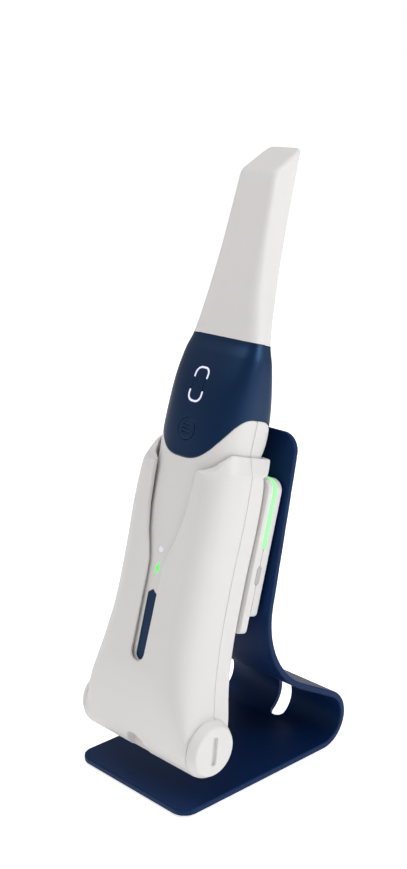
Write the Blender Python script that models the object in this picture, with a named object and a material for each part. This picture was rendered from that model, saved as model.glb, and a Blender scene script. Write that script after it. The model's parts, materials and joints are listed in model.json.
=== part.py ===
"""Wireless intraoral camera standing in a charging cradle on a bent metal stand.

The dock frame leans back with the camera. Its origin is the joint between the
camera's tip and its collar, +Z runs up the camera's axis, -Y is the side with
the buttons. Lengths below are millimetres, scaled to metres when meshes are made.
"""
import math

import bmesh
import bpy
from mathutils import Matrix, Vector

MM = 0.001
GAP = 0.3

# Stand: one sheet, bent up behind the cradle, lying on four feet.
SHEET = 3.0
FOOT_HEIGHT = 0.7
FOOT_RADIUS = 5.0
FOOT_INSET = 13.0
BASE_HALF_WIDTH = 37.5
TOP_HALF_WIDTH = 30.7
BASE_LENGTH = 92.7
RETURN_RADIUS = 13.5
RETURN_TURN = math.radians(152.5)
LIP_LENGTH = 23.4
BACK_RADIUS = 40.0
BACK_LEAN = math.radians(14.5)
BACK_LENGTH = 79.8
FRONT_CORNER = 7.5
TOP_CORNER = 9.0
SLOT_WIDTH = 8.6
SLOT_START = math.radians(18)
SLOT_END = math.radians(140)

# Dock frame.
LEAN = math.radians(15.5)
HALF_DEPTH = BASE_LENGTH / 2 + RETURN_RADIUS / 2 + SHEET / 4
SHEET_BOTTOM = FOOT_HEIGHT + GAP
DOCK_ORIGIN = Vector((0, 67.1 - HALF_DEPTH, 201.6 + SHEET_BOTTOM))

# Camera outline: height, half width, front depth, rear depth, front and rear squareness.
OUTLINE = (
    (-152, 20.3, 20.3, 4.9, 3.0, 5.0),
    (-110, 21.4, 20.3, 5.6, 3.0, 5.0),
    (-75, 22.2, 20.0, 6.2, 3.0, 5.0),
    (-62, 22.6, 19.8, 6.8, 3.0, 5.0),
    (-54, 23.0, 19.6, 10.6, 3.0, 4.6),
    (-44, 23.5, 19.5, 13.8, 3.0, 4.5),
    (-32, 23.7, 18.8, 12.9, 3.0, 4.5),
    (-20, 23.6, 16.9, 10.0, 3.2, 4.4),
    (-8, 22.9, 13.4, 6.2, 3.4, 4.1),
    (0, 21.0, 10.6, 4.1, 3.7, 4.0),
    (20, 16.8, 9.6, 6.0, 4.5, 4.5),
    (44, 13.7, 8.6, 7.2, 5.0, 5.0),
    (95, 10.2, 6.8, 9.0, 6.0, 6.0),
)
HANDLE_BOTTOM = -152.0
SIDE_SEAM = -33.5
FRONT_DROP = 22.2
REAR_DROP = 14.0
SEAM_ANGLE = math.radians(0.9)
WALL = 1.6
TIP_WALL = 1.2
TIP_FRONT_TOP = 75.0
TIP_SLOPE = 0.95
SNOUT_TOP = 38.0
SNOUT_CLEARANCE = 0.9
SNOUT_WALL = 1.4
SNOUT_BASE = -1.5
LENS_THICKNESS = 2.0
# Snout outline, as the camera's, with a straight back so that the tip slides off it.
SNOUT = (
    (-1.5, 21.0, 10.6, 4.1, 3.7, 4.0),
    (0, 21.0, 10.6, 4.1, 3.7, 4.0),
    (20, 16.8, 9.6, 4.1, 4.5, 4.0),
    (38, 14.4, 8.8, 4.1, 4.9, 4.0),
)
WINDOW_HALF_WIDTH = 6.5
WINDOW_BOTTOM = 60.0
WINDOW_TOP = 74.0
WINDOW_CORNER = 2.0
WINDOW_REACH = (2.0, 20.0)
MIRROR_HALF_DEPTH = 4.6
MIRROR_HALF_WIDTH = 7.2
MIRROR_THICKNESS = 1.0
MIRROR_GAP = 1.0

# Controls on the collar.
SCAN_HEIGHT = -22.5
SCAN_DEPTH = -17.4
SCAN_TILT = math.radians(11)
SCAN_HALF_WIDTH = 3.3
SCAN_HALF_LENGTH = 7.3
RING_WIDTH = 0.9
RING_OPENING = 2.9
MODE_HEIGHT = -42.9
MODE_DEPTH = -19.5
MODE_TILT = math.radians(1)
MODE_RADIUS = 5.0
BUTTON_DEPTH = 3.4
BUTTON_PROUD = 0.2
BUTTON_CUT = 4.0
RING_DEPTH = 2.0
LAMP_HEIGHT = -98.8
CHARGE_HEIGHT = -107.4
LAMP_RADIUS = 1.7
STRIPE_TOP = -117.2
STRIPE_BOTTOM = -150.0
STRIPE_HALF_WIDTH = 2.8
STRIPE_THICKNESS = 0.6
LAMP_LENGTH = 1.8
BOLT_HOLE = (1.9, 3.4)
BOLT = ((0.5, 2.8), (-1.3, -0.4), (-0.1, -0.4), (-0.5, -2.8), (1.3, 0.4), (0.1, 0.4))
LAMP_CUT = (-24.0, -16.0)
END_PLATE = (0.6, 3.0)

# Blocks inside the camera: name, lowest corner, highest corner, material.
INSIDE = (
    ("battery_pack", (-14, -11, -147), (14, 2.4, -84), "battery_wrap"),
    ("main_board", (-14, -13.2, -147), (14, -11.8, -62), "circuit_board"),
    ("camera_module", (-12, -8.5, -46), (-1, 2.5, -8), "black_plastic"),
    ("projector_module", (1, -8.5, -46), (12, 2.5, -8), "black_plastic"),
    ("switch_board", (-7, -11.0, -49), (7, -9.8, -14), "circuit_board"),
)

# Cradle outline, as the camera's: height, half width, front, rear, front and rear squareness.
CRADLE = (
    (-186, 35.2, 15.5, 11.2, 9.0, 9.0),
    (-180.6, 35.3, 17.4, 11.6, 9.0, 9.0),
    (-176, 35.3, 18.9, 11.7, 9.0, 9.0),
    (-170, 34.9, 20.6, 11.5, 8.5, 9.0),
    (-166, 33.8, 21.4, 11.2, 7.5, 9.0),
    (-160, 31.8, 22.4, 10.6, 6.0, 9.0),
    (-152, 30.3, 23.1, 9.9, 5.0, 9.0),
    (-142, 29.3, 23.4, 9.4, 4.3, 9.0),
    (-128, 28.6, 23.4, 9.1, 3.8, 9.0),
    (-104, 28.5, 23.4, 9.1, 3.8, 9.0),
    (-80, 28.9, 23.3, 9.1, 4.1, 9.0),
    (-66, 28.6, 23.2, 9.1, 4.0, 9.0),
    (-60, 28.2, 23.2, 9.1, 3.8, 8.0),
    (-57.6, 27.8, 23.1, 9.2, 3.6, 7.0),
    (-54, 26.9, 22.9, 13.4, 3.4, 5.5),
    (-50, 26.2, 22.6, 14.6, 3.2, 5.0),
)
POCKET = (
    (-153, 21.1, 21.2, 5.7, 3.0, 5.0),
    (-110, 22.2, 21.2, 6.4, 3.0, 5.0),
    (-75, 23.0, 21.2, 7.0, 3.0, 5.0),
    (-62, 23.4, 21.2, 7.8, 3.0, 5.0),
    (-54, 23.8, 21.2, 11.7, 3.0, 4.6),
    (-44, 24.3, 21.2, 14.6, 3.0, 4.5),
)
POCKET_FLOOR = -153.0
OPENING_CUT = (-30.0, -10.0)
NOTCH_CUT = (-26.0, -6.0)
SPLIT_REACH = 60.0
SPLIT_MARGIN = 40.0
CRADLE_SEAM = -1.0
BARREL_HEIGHT = -180.6
BARREL_DEPTH = -2.3
BARREL_RADIUS = 13.6
BARREL_HALF_WIDTH = 35.4
CAP_THICKNESS = 4.6
CAP_FACE_RADIUS = 11.4
SPIGOT_RADIUS = 8.2
SPIGOT_LENGTH = 6.0
COIN_SLOT_REACH = 7.2
COIN_SLOT_WIDTH = 2.5
COIN_SLOT_DEPTH = 1.6
CAP_CHAMFER = ((0.0, 0.2), (0.35, 0.6))
NOTCH_RADIUS = 6.5
NOTCH_RISE = 2.5
OPENING = ((-49, 14.5), (-66, 13.4), (-80, 12.0), (-92, 8.6), (-98, 6.2), (-104, 4.4), (-112, 4.1),
           (-146, 4.0))

# Contact block in the pocket's floor, between two corners seen from above.
BLOCK_LOW = (-9.0, -9.0)
BLOCK_HIGH = (9.0, 1.0)
BLOCK_DEPTH = 5.0
BLOCK_STEP = 0.6
PIN_PLACES = (("left", -4.0), ("right", 4.0))
PIN_DEPTH = -4.0
PIN_RADIUS = 1.0
PIN_LENGTH = 3.0
PIN_PROUD = 1.0

# Charger box behind the cradle.
BOX_HALF_WIDTH = 30.0
BOX_TOP = -58.2
BOX_BOTTOM = -130.2
COVER_BOTTOM = -122.2
BOX_FRONT = 9.6
BOX_SEAM = 14.0
BOX_REAR = 19.3
BOX_CORNER = 7.0
BOX_WALL = 1.6
LEAST_CORNER = 1.0
COVER_EDGE = 3.0
COVER_EDGE_STEP = 0.9
STRIP_WIDTH = 2.4
STRIP_DEPTH = 1.3
STRIP_END = -89.8
SIDE_BUTTON_TOP = -98.5
SIDE_BUTTON_BOTTOM = -106.8
SIDE_BUTTON_WIDTH = 2.4
SIDE_BUTTON_DEPTH = 2.0
SIDE_BUTTON_INSET = 0.1
SIDE_BUTTON_CUT = 4.0
INLET_HALF_WIDTH = 4.8
INLET_FRONT = 11.4
INLET_REAR = 13.8
INLET_RIM = 0.2
INLET_LENGTH = 7.0
INLET_WALL = 0.5
INLET_CORNER = 1.1
MOUTH_DEPTH = 5.0
BOARD_LOW = (-26.0, 12.2, -120.0)
BOARD_HIGH = (26.0, 13.4, -66.0)
SCREW_PLACES = ((-18, -72), (18, -72), (-18, -112), (18, -112))
SCREW_RADIUS = 1.5
SCREW_HEAD_RADIUS = 3.0
SCREW_HEAD = 1.6
SCREW_REACH = 3.0
SCREW_CUT = (12.0, 26.0)

AROUND = 48

COLOURS = {
    "white_plastic": ((0.80, 0.79, 0.78), 0.38, 0.0),
    "tip_plastic": ((0.80, 0.79, 0.78), 0.42, 0.0),
    "navy_plastic": ((0.010, 0.032, 0.105), 0.40, 0.0),
    "navy_coating": ((0.012, 0.035, 0.120), 0.48, 0.0),
    "light_guide": ((0.92, 0.94, 1.00), 0.30, 0.0),
    "green_light": ((0.30, 0.95, 0.36), 0.30, 0.0),
    "grey_plastic": ((0.52, 0.52, 0.52), 0.45, 0.0),
    "black_rubber": ((0.02, 0.02, 0.02), 0.80, 0.0),
    "steel": ((0.55, 0.55, 0.56), 0.30, 1.0),
    "gold_contact": ((0.80, 0.58, 0.22), 0.25, 1.0),
    "circuit_board": ((0.02, 0.16, 0.07), 0.50, 0.0),
    "battery_wrap": ((0.05, 0.10, 0.32), 0.45, 0.0),
    "glass": ((0.60, 0.70, 0.75), 0.06, 0.0),
    "mirror": ((0.90, 0.91, 0.92), 0.03, 1.0),
    "black_plastic": ((0.02, 0.02, 0.022), 0.45, 0.0),
}


def clear_scene():
    for item in list(bpy.data.objects):
        bpy.data.objects.remove(item, do_unlink=True)


def make_material(name):
    colour, roughness, metallic = COLOURS[name]
    material = bpy.data.materials.get(name) or bpy.data.materials.new(name)
    material.use_nodes = True
    shader = material.node_tree.nodes["Principled BSDF"]
    shader.inputs["Base Color"].default_value = (*colour, 1)
    shader.inputs["Roughness"].default_value = roughness
    shader.inputs["Metallic"].default_value = metallic
    return material


def make_object(name, verts, faces, material, parent=None, smooth=True):
    """Make one closed object from points in millimetres, with its faces turned out."""
    mesh = bpy.data.meshes.new(name)
    mesh.from_pydata([Vector(point) * MM for point in verts], [], faces)
    shape = bmesh.new()
    shape.from_mesh(mesh)
    bmesh.ops.recalc_face_normals(shape, faces=shape.faces)
    shape.to_mesh(mesh)
    shape.free()
    if smooth:
        mesh.shade_smooth()
        mesh.set_sharp_from_angle(angle=math.radians(35))
    item = bpy.data.objects.new(name, mesh)
    bpy.context.scene.collection.objects.link(item)
    mesh.materials.append(make_material(material))
    item.parent = parent
    return item


def make_frame(name, matrix, parent=None):
    """Make an empty that parts are placed by, from a matrix in millimetres."""
    frame = bpy.data.objects.new(name, None)
    bpy.context.scene.collection.objects.link(frame)
    matrix = matrix.copy()
    matrix.translation *= MM
    frame.parent = parent
    frame.matrix_basis = matrix
    return frame


def apply_boolean(item, cutter, operation="DIFFERENCE"):
    """Join or cut with another object of the same parent, then remove that object."""
    modifier = item.modifiers.new(operation, "BOOLEAN")
    modifier.object = cutter
    modifier.operation = operation
    modifier.solver = "EXACT"
    bpy.context.view_layer.update()
    evaluated = item.evaluated_get(bpy.context.evaluated_depsgraph_get())
    result = bpy.data.meshes.new_from_object(evaluated)
    item.modifiers.remove(modifier)
    item.data = result
    bpy.data.objects.remove(cutter, do_unlink=True)


def smooth_table(table, height, column):
    """Read a column of a table at a height, along a smooth curve through its rows."""
    rows = [(row[0], row[column]) for row in table]
    if height <= rows[0][0]:
        return rows[0][1]
    if height >= rows[-1][0]:
        return rows[-1][1]
    index = max(i for i, row in enumerate(rows[:-1]) if row[0] <= height)

    def slope(i):
        before, after = max(i - 1, 0), min(i + 1, len(rows) - 1)
        return (rows[after][1] - rows[before][1]) / (rows[after][0] - rows[before][0])

    (start, first), (end, last) = rows[index], rows[index + 1]
    span = end - start
    t = (height - start) / span
    return (first * (1 + 2 * t) * (1 - t) ** 2 + last * t * t * (3 - 2 * t)
            + span * (slope(index) * t * (1 - t) ** 2 - slope(index + 1) * t * t * (1 - t)))


def signed_power(value, power):
    return math.copysign(abs(value) ** power, value)


def outline_point(table, height, angle, inset=0.0):
    """Point on a rounded section; angle 0 is the front, a quarter turn is +X."""
    half_width, front, rear, front_power, rear_power = (
        smooth_table(table, height, column) for column in range(1, 6))
    across, along = math.sin(angle), -math.cos(angle)
    power = 2 / (front_power if along < 0 else rear_power)
    depth = (front if along < 0 else rear) - inset
    return Vector(((half_width - inset) * signed_power(across, power),
                   depth * signed_power(along, power), height))


def full_turn(count=AROUND):
    return [math.tau * i / count for i in range(count)]


def ring_faces(count, first, second, closed=True):
    """Quads between two rows of points that start at the given indices."""
    steps = range(count) if closed else range(count - 1)
    return [(first + i, first + (i + 1) % count, second + (i + 1) % count, second + i) for i in steps]


def loft(rings):
    """Closed solid through rings of equal length, capped at both ends."""
    count = len(rings[0])
    verts = [point for ring in rings for point in ring]
    faces = [tuple(range(count)), tuple(range(len(verts) - count, len(verts)))]
    for level in range(len(rings) - 1):
        faces += ring_faces(count, level * count, (level + 1) * count)
    return verts, faces


def tube(outer, inner):
    """Open tube between two stacks of rings, joined at both ends."""
    rings = list(outer) + list(reversed(inner))
    count = len(rings[0])
    verts = [point for ring in rings for point in ring]
    faces = []
    for level in range(len(rings)):
        faces += ring_faces(count, level * count, (level + 1) % len(rings) * count)
    return verts, faces


def cup(outer, inner):
    """Solid with a hollow that opens at the first ring; the last rings are closed."""
    rings = list(reversed(outer)) + list(inner)
    return loft(rings)


def strip_shell(outer, inner):
    """Shell between two open grids of the same size, closed along all its edges."""
    columns = len(outer[0])
    rows = len(outer)
    verts = [point for row in outer for point in row] + [point for row in inner for point in row]
    offset = rows * columns
    faces = []
    for row in range(rows - 1):
        first, second = row * columns, (row + 1) * columns
        faces += ring_faces(columns, first, second, closed=False)
        faces += ring_faces(columns, offset + first, offset + second, closed=False)
        for edge in (0, columns - 1):
            faces.append((first + edge, second + edge, offset + second + edge, offset + first + edge))
    for row in (0, rows - 1):
        faces += ring_faces(columns, row * columns, offset + row * columns, closed=False)
    return verts, faces


def heights(low, high, steps):
    return [low + (high - low) * i / steps for i in range(steps + 1)]


def box(name, low, high, material, parent=None):
    return prism(name, rectangle(low, high), low[2], high[2], material, parent, axis="Z", smooth=False)


def prism(name, outline, low, high, material, parent=None, axis="Y", smooth=True):
    """Extrude a flat outline along an axis, from low to high."""
    places = {"X": lambda a, b, t: (t, a, b), "Y": lambda a, b, t: (a, t, b), "Z": lambda a, b, t: (a, b, t)}
    rings = [[places[axis](a, b, t) for a, b in outline] for t in (low, high)]
    verts, faces = loft(rings)
    return make_object(name, verts, faces, material, parent, smooth)


def circle(radius, centre=(0, 0), count=32, start=0.0, end=math.tau):
    closed = abs(end - start - math.tau) < 1e-6
    steps = count if closed else count + 1
    return [(centre[0] + radius * math.cos(start + (end - start) * i / count),
             centre[1] + radius * math.sin(start + (end - start) * i / count)) for i in range(steps)]


def rectangle(low, high, grow=0.0):
    left, right = low[0] - grow, high[0] + grow
    bottom, top = low[1] - grow, high[1] + grow
    return [(left, bottom), (right, bottom), (right, top), (left, top)]


def obround(half_width, half_length, centre=(0, 0), count=10):
    """Slot outline, long in its second direction, with round ends."""
    rise = half_length - half_width
    top = circle(half_width, (centre[0], centre[1] + rise), count, 0, math.pi)
    bottom = circle(half_width, (centre[0], centre[1] - rise), count, math.pi, math.tau)
    return top + bottom


def rounded_rectangle(low, high, radius, count=5):
    """Rectangle outline with round corners, anticlockwise from its lower right corner."""
    corners = ((high[0] - radius, low[1] + radius, -90), (high[0] - radius, high[1] - radius, 0),
               (low[0] + radius, high[1] - radius, 90), (low[0] + radius, low[1] + radius, 180))
    points = []
    for x, y, start in corners:
        points += circle(radius, (x, y), count, math.radians(start), math.radians(start + 90))
    return points


# ---------------------------------------------------------------- stand

RETURN_START = BASE_LENGTH
LIP_START = RETURN_START + RETURN_RADIUS * RETURN_TURN
BEND_START = LIP_START + LIP_LENGTH
BEND_TURN = RETURN_TURN - (math.pi / 2 - BACK_LEAN)
BACK_START = BEND_START + BACK_RADIUS * BEND_TURN
SHEET_END = BACK_START + BACK_LENGTH


def sheet_place(distance):
    """Middle of the sheet's thickness and its direction, a distance from the front edge."""
    point = Vector((-HALF_DEPTH, SHEET_BOTTOM + SHEET / 2))
    heading = 0.0
    stretches = ((BASE_LENGTH, 0, 0), (RETURN_RADIUS * RETURN_TURN, RETURN_RADIUS, 1), (LIP_LENGTH, 0, 0),
                 (BACK_RADIUS * BEND_TURN, BACK_RADIUS, -1), (BACK_LENGTH, 0, 0))
    for length, radius, side in stretches:
        travel = min(distance, length)
        if side == 0:
            point += travel * Vector((math.cos(heading), math.sin(heading)))
        else:
            turned = heading + side * travel / radius
            point += side * radius * Vector((math.sin(turned) - math.sin(heading),
                                             math.cos(heading) - math.cos(turned)))
            heading = turned
        distance -= travel
        if distance <= 0:
            break
    return point, heading


def sheet_outline():
    """Flat pattern of the sheet: across, and distance along it from the front edge."""
    front = circle(FRONT_CORNER, (BASE_HALF_WIDTH - FRONT_CORNER, FRONT_CORNER), 7, -math.pi / 2, 0)
    top = circle(TOP_CORNER, (TOP_HALF_WIDTH - TOP_CORNER, SHEET_END - TOP_CORNER), 6, 0, math.pi / 2)
    half = front + [(BASE_HALF_WIDTH, LIP_START)] + top
    return half + [(-x, d) for x, d in reversed(half)]


def bend_sheet(item):
    """Cut the flat sheet at its bends and wrap it round the stand's profile."""
    shape = bmesh.new()
    shape.from_mesh(item.data)
    cuts = heights(RETURN_START, LIP_START, 12) + heights(BEND_START, BACK_START, 9)
    for distance in cuts:
        bmesh.ops.bisect_plane(shape, geom=shape.verts[:] + shape.edges[:] + shape.faces[:],
                               plane_co=(0, distance * MM, 0), plane_no=(0, 1, 0), dist=1e-7)
    for vert in shape.verts:
        point, heading = sheet_place(vert.co.y / MM)
        lift = vert.co.z
        vert.co.y = point.x * MM - lift * math.sin(heading)
        vert.co.z = point.y * MM + lift * math.cos(heading)
    shape.to_mesh(item.data)
    shape.free()


def dock_to_sheet(height):
    """Distance along the sheet of the point straight behind a height on the dock's axis."""
    target = DOCK_ORIGIN + Vector((0, math.sin(LEAN), math.cos(LEAN))) * height
    back = Vector((math.cos(LEAN), -math.sin(LEAN)))
    low, high = BACK_START, SHEET_END
    for _ in range(40):
        middle = (low + high) / 2
        point, _heading = sheet_place(middle)
        ahead = (point.x - target.y) * -back.y + (point.y - target.z) * back.x
        low, high = (middle, high) if ahead < 0 else (low, middle)
    return low


def make_stand():
    plate = prism("stand_plate", sheet_outline(), -SHEET / 2, SHEET / 2, "navy_coating", axis="Z")
    slot_low = RETURN_START + RETURN_RADIUS * SLOT_START
    slot_high = RETURN_START + RETURN_RADIUS * SLOT_END
    slot = obround(SLOT_WIDTH / 2, (slot_high - slot_low) / 2, (0, (slot_low + slot_high) / 2))
    apply_boolean(plate, prism("slot_cutter", slot, -SHEET, SHEET, "navy_coating", axis="Z"))
    for x, height in SCREW_PLACES:
        hole = circle(SCREW_RADIUS + GAP, (x, dock_to_sheet(height)), 12)
        apply_boolean(plate, prism("hole_cutter", hole, -SHEET, SHEET, "navy_coating", axis="Z"))
    bend_sheet(plate)
    plate.data.shade_smooth()
    plate.data.set_sharp_from_angle(angle=math.radians(35))
    for side, x in (("left", -1), ("right", 1)):
        for end, y in (("front", FOOT_INSET - HALF_DEPTH), ("rear", BASE_LENGTH - FOOT_INSET - HALF_DEPTH)):
            centre = (x * (BASE_HALF_WIDTH - FOOT_INSET), y)
            prism(f"foot_{end}_{side}", circle(FOOT_RADIUS, centre, 20), 0, FOOT_HEIGHT,
                  "black_rubber", axis="Z")


# ---------------------------------------------------------------- camera

def collar_seam(angle):
    """Height of the wavy seam between the collar and the handle."""
    facing = math.cos(angle)
    return SIDE_SEAM - (FRONT_DROP if facing > 0 else REAR_DROP) * facing * facing


def tip_top(point_y):
    return TIP_FRONT_TOP + TIP_SLOPE * (point_y + smooth_table(OUTLINE, TIP_FRONT_TOP, 2))


def tip_ring(share, inset, drop, angles):
    """Ring part of the way up the tip, whose end is cut on a slope."""
    ring = []
    for angle in angles:
        height = TIP_FRONT_TOP * share
        for _ in range(6):
            depth = outline_point(OUTLINE, height, angle, inset).y
            height = GAP + (tip_top(depth) - drop - GAP) * share
        ring.append(outline_point(OUTLINE, height, angle, inset))
    return ring


def outline_rings(table, levels, inset=0.0, count=AROUND):
    return [[outline_point(table, height, angle, inset) for angle in full_turn(count)] for height in levels]


def make_tip(frame):
    angles = full_turn()
    shares = [0, 0.12, 0.25, 0.45, 0.65, 0.85, 1]
    outer = [tip_ring(share, 0, 0, angles) for share in shares]
    inner = [tip_ring(share, TIP_WALL, TIP_WALL if share else 0, angles) for share in shares]
    sleeve = make_object("tip_sleeve", *cup(outer, inner), "tip_plastic", frame)
    window = rounded_rectangle((-WINDOW_HALF_WIDTH, WINDOW_BOTTOM), (WINDOW_HALF_WIDTH, WINDOW_TOP),
                               WINDOW_CORNER)
    apply_boolean(sleeve, prism("window_cutter", window, *WINDOW_REACH, "tip_plastic", frame))
    drop = (TIP_WALL + MIRROR_GAP) / math.cos(math.atan(TIP_SLOPE))
    upper = [(y, tip_top(y) - drop) for y in (-MIRROR_HALF_DEPTH, MIRROR_HALF_DEPTH)]
    lower = [(y, z - MIRROR_THICKNESS) for y, z in reversed(upper)]
    prism("tip_mirror", upper + lower, -MIRROR_HALF_WIDTH, MIRROR_HALF_WIDTH, "mirror", frame,
          axis="X", smooth=False)


def make_snout(frame):
    clearance = TIP_WALL + SNOUT_CLEARANCE
    levels = heights(SNOUT_BASE, SNOUT_TOP, 4)
    outer = outline_rings(SNOUT, levels, clearance)
    inner = outline_rings(SNOUT, levels, clearance + SNOUT_WALL)
    make_object("snout", *tube(outer, inner), "black_plastic", frame)
    lens_levels = (SNOUT_TOP - LENS_THICKNESS - SNOUT_WALL, SNOUT_TOP - SNOUT_WALL)
    lens = outline_rings(SNOUT, lens_levels, clearance + SNOUT_WALL + GAP)
    make_object("front_lens", *loft(lens), "glass", frame)


def shell_grid(angles, low, high, steps, inset):
    """Rows of points up a shell, between a low and a high edge that may vary round it."""
    rows = []
    for step in range(steps + 1):
        share = step / steps
        rows.append([outline_point(OUTLINE, low(a) + (high(a) - low(a)) * share, a, inset) for a in angles])
    return rows


def button_frame(name, height, depth, tilt, parent):
    """Frame on the collar's front whose -Y is straight out of the surface."""
    matrix = Matrix.Translation((0, depth, height)) @ Matrix.Rotation(-tilt, 4, "X")
    return make_frame(name, matrix, parent)


def ring_piece(name, sign, frame):
    """Light guide round one end of the scan button."""
    outer = (SCAN_HALF_WIDTH + GAP + RING_WIDTH, SCAN_HALF_LENGTH + GAP + RING_WIDTH)
    inner = (SCAN_HALF_WIDTH + GAP, SCAN_HALF_LENGTH + GAP)
    outline = [(outer[0], RING_OPENING)] + circle(outer[0], (0, outer[1] - outer[0]), 14, 0, math.pi)
    outline += [(-outer[0], RING_OPENING), (-inner[0], RING_OPENING)]
    outline += list(reversed(circle(inner[0], (0, inner[1] - inner[0]), 14, 0, math.pi)))
    outline += [(inner[0], RING_OPENING)]
    outline = [(x, sign * z) for x, z in outline]
    return prism(name, outline, -BUTTON_PROUD / 2, RING_DEPTH, "light_guide", frame)


def make_collar(frame, scan, mode):
    angles = full_turn()

    def low(angle):
        return collar_seam(angle) + GAP / 2

    def high(_angle):
        return 0.0

    outer = shell_grid(angles, low, high, 8, 0)
    inner = shell_grid(angles, low, high, 8, WALL)
    collar = make_object("collar_shell", *tube(outer, inner), "navy_plastic", frame)
    hole = obround(SCAN_HALF_WIDTH + RING_WIDTH + 2 * GAP, SCAN_HALF_LENGTH + RING_WIDTH + 2 * GAP)
    scan_cutter = prism("scan_cutter", hole, -BUTTON_CUT, BUTTON_CUT, "navy_plastic", scan)
    cut_through(collar, scan_cutter, frame)
    round_hole = circle(MODE_RADIUS + GAP, count=28)
    mode_cutter = prism("mode_cutter", round_hole, -BUTTON_CUT, BUTTON_CUT, "navy_plastic", mode)
    cut_through(collar, mode_cutter, frame)


def cut_through(item, cutter, frame):
    """Cut with an object that hangs on another frame under the same camera frame."""
    bpy.context.view_layer.update()
    world = cutter.matrix_world.copy()
    cutter.parent = frame
    cutter.matrix_parent_inverse = Matrix.Identity(4)
    cutter.matrix_basis = frame.matrix_world.inverted() @ world
    apply_boolean(item, cutter)


def make_buttons(scan, mode):
    prism("scan_button", obround(SCAN_HALF_WIDTH, SCAN_HALF_LENGTH), -BUTTON_PROUD, BUTTON_DEPTH,
          "navy_plastic", scan)
    ring_piece("light_ring_upper", 1, scan)
    ring_piece("light_ring_lower", -1, scan)
    prism("mode_button", circle(MODE_RADIUS, count=28), -BUTTON_PROUD, BUTTON_DEPTH, "navy_plastic", mode)


def make_handle(frame):
    def bottom(_angle):
        return HANDLE_BOTTOM

    def top(angle):
        return collar_seam(angle) - GAP / 2

    step = math.tau / AROUND
    quarter = AROUND // 4
    front = [step * i for i in range(-quarter, quarter + 1)]
    rear = [step * i for i in range(quarter, 3 * quarter + 1)]
    rear[0] += SEAM_ANGLE
    rear[-1] -= SEAM_ANGLE
    for name, angles in (("handle_front_shell", front), ("handle_rear_shell", rear)):
        outer = shell_grid(angles, bottom, top, 12, 0)
        inner = shell_grid(angles, bottom, top, 12, WALL)
        shell = make_object(name, *strip_shell(outer, inner), "white_plastic", frame)
        if name == "handle_front_shell":
            open_lamp_holes(shell, frame)
    levels = [HANDLE_BOTTOM + rise for rise in END_PLATE]
    floor = outline_rings(OUTLINE, levels, WALL + GAP, 28)
    make_object("handle_end_plate", *loft(floor), "black_plastic", frame)


def stripe_outline(grow=0.0):
    """Stripe with a pointed top and a round lower end."""
    half = STRIPE_HALF_WIDTH + grow
    lower = circle(half, (0, STRIPE_BOTTOM + STRIPE_HALF_WIDTH), 10, math.pi, math.tau)
    return lower + [(half, STRIPE_TOP - STRIPE_HALF_WIDTH / 2), (0, STRIPE_TOP + grow * 2),
                    (-half, STRIPE_TOP - STRIPE_HALF_WIDTH / 2)]


def front_depth(height):
    return -smooth_table(OUTLINE, height, 2)


def open_lamp_holes(shell, frame):
    lamp = circle(LAMP_RADIUS + GAP, (0, LAMP_HEIGHT), 16)
    bolt = obround(*BOLT_HOLE, (0, CHARGE_HEIGHT))
    for name, outline in (("lamp", lamp), ("bolt", bolt)):
        apply_boolean(shell, prism(name + "_cutter", outline, *LAMP_CUT, "white_plastic", frame))
    floor = front_depth(STRIPE_BOTTOM) + STRIPE_THICKNESS + GAP
    stripe = prism("stripe_cutter", stripe_outline(GAP), LAMP_CUT[0], floor, "white_plastic", frame)
    apply_boolean(shell, stripe)


def make_lamps(frame):
    depth = front_depth(LAMP_HEIGHT)
    lamp = circle(LAMP_RADIUS, (0, LAMP_HEIGHT), 16)
    prism("power_lamp", lamp, depth, depth + LAMP_LENGTH, "light_guide", frame)
    bolt = [(x, z + CHARGE_HEIGHT) for x, z in BOLT]
    prism("charge_lamp", bolt, depth, depth + LAMP_LENGTH, "green_light", frame, smooth=False)
    depth = front_depth(STRIPE_BOTTOM)
    prism("accent_stripe", stripe_outline(), depth, depth + STRIPE_THICKNESS, "navy_plastic", frame)


def make_inside(frame):
    for name, low, high, material in INSIDE:
        box(name, low, high, material, frame)


# ---------------------------------------------------------------- cradle

def opening_outline():
    """V-shaped opening in the cradle's front that narrows to a slot with a round end."""
    height, half = OPENING[-1]
    end = circle(half, (0, height), 10, math.pi, math.tau)
    right = [(half_width, z) for z, half_width in reversed(OPENING[:-1])]
    return end + right + [(-x, z) for x, z in reversed(right)]


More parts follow.
